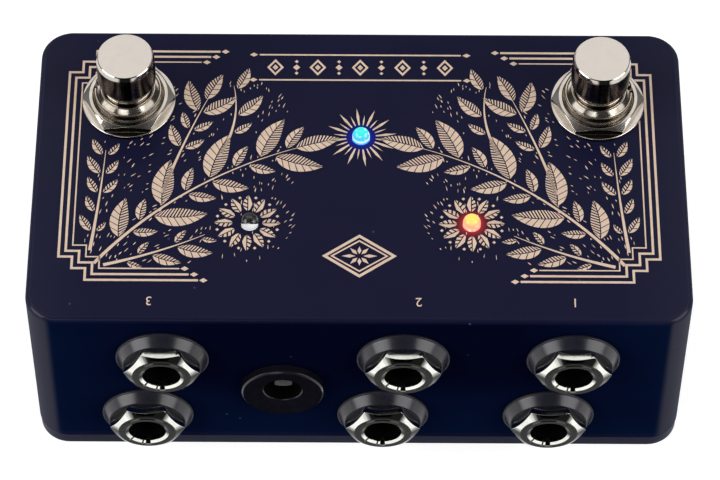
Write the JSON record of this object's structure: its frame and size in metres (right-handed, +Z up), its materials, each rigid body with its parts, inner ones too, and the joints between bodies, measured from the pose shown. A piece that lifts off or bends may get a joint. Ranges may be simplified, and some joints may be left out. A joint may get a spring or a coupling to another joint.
{
  "type": "signal switch pedal",
  "caption": "Compact die-cast foot pedal that switches audio signals: sprung footswitches and indicator lamps on top, jacks and a power inlet on the front wall.",
  "frame": {"origin": "middle of the base plate's underside", "axes": "+Z up through the top panel, -Y out of the wall with the jacks, +X to the right when that wall is seen from in front"},
  "size_m": [0.1124, 0.0647, 0.0535],
  "materials": {
    "powder_coat": "fine satin powder coat, dark navy",
    "nickel": "polished nickel plate",
    "zinc_steel": "zinc plated",
    "bezel_plastic": "satin black moulding",
    "moulded_plastic": "black moulding",
    "white_plastic": "natural nylon",
    "contact_metal": "tinned brass",
    "board": "solder mask on glass laminate",
    "wire_insulation": "smooth",
    "lamp_lens_left": "water-clear resin",
    "lamp_lens_centre": "water-clear resin, lit blue",
    "lamp_lens_right": "water-clear resin, lit orange-red"
  },
  "bodies": {
    "case": {"base_plate": "powder_coat", "base_screws": "zinc_steel", "board_parts": "moulded_plastic", "circuit_board": "board", "enclosure": "powder_coat", "footswitch_bushing_left": "nickel", "footswitch_bushing_right": "nickel", "footswitch_housing_left": "moulded_plastic", "footswitch_housing_right": "moulded_plastic", "footswitch_lock_washers": "zinc_steel", "footswitch_nuts_left": "nickel", "footswitch_nuts_right": "nickel", "footswitch_spring_left": "zinc_steel", "footswitch_spring_right": "zinc_steel", "footswitch_terminals": "contact_metal", "footswitch_washer_left": "nickel", "footswitch_washer_right": "nickel", "inlet_housing": "moulded_plastic", "inlet_leads": "wire_insulation", "inlet_lugs": "contact_metal", "inlet_nut": "zinc_steel", "inlet_pin": "contact_metal", "jack_bezel_left_lower": "bezel_plastic", "jack_bezel_left_upper": "bezel_plastic", "jack_bezel_middle_lower": "bezel_plastic", "jack_bezel_middle_upper": "bezel_plastic", "jack_bezel_right_lower": "bezel_plastic", "jack_bezel_right_upper": "bezel_plastic", "jack_contacts": "contact_metal", "jack_housing_left_lower": "moulded_plastic", "jack_housing_left_upper": "moulded_plastic", "jack_housing_middle_lower": "moulded_plastic", "jack_housing_middle_upper": "moulded_plastic", "jack_housing_right_lower": "moulded_plastic", "jack_housing_right_upper": "moulded_plastic", "jack_nut_left_lower": "nickel", "jack_nut_left_upper": "nickel", "jack_nut_middle_lower": "nickel", "jack_nut_middle_upper": "nickel", "jack_nut_right_lower": "nickel", "jack_nut_right_upper": "nickel", "jack_sleeve_left_lower": "nickel", "jack_sleeve_left_upper": "nickel", "jack_sleeve_middle_lower": "nickel", "jack_sleeve_middle_upper": "nickel", "jack_sleeve_right_lower": "nickel", "jack_sleeve_right_upper": "nickel", "lamp_legs": "contact_metal", "lamp_lens_centre": "lamp_lens_centre", "lamp_lens_left": "lamp_lens_left", "lamp_lens_right": "lamp_lens_right", "lamp_spacers": "white_plastic", "relays": "moulded_plastic"},
    "button_left": {"footswitch_cap_left": "nickel", "footswitch_stem_left": "nickel", "footswitch_contact_left": "contact_metal"},
    "button_right": {"footswitch_cap_right": "nickel", "footswitch_stem_right": "nickel", "footswitch_contact_right": "contact_metal"}
  },
  "joints": [
    {"name": "left_press", "type": "slide", "parent": "case", "child": "button_left", "axis": [0, 0, -1], "range_m": [0, 0.0015], "stiffness_N_per_m": 1500, "springref_m": -0.002, "deforming": ["footswitch_spring_left"]},
    {"name": "right_press", "type": "slide", "parent": "case", "child": "button_right", "axis": [0, 0, -1], "range_m": [0, 0.0015], "stiffness_N_per_m": 1500, "springref_m": -0.002, "deforming": ["footswitch_spring_right"]}
  ]
}
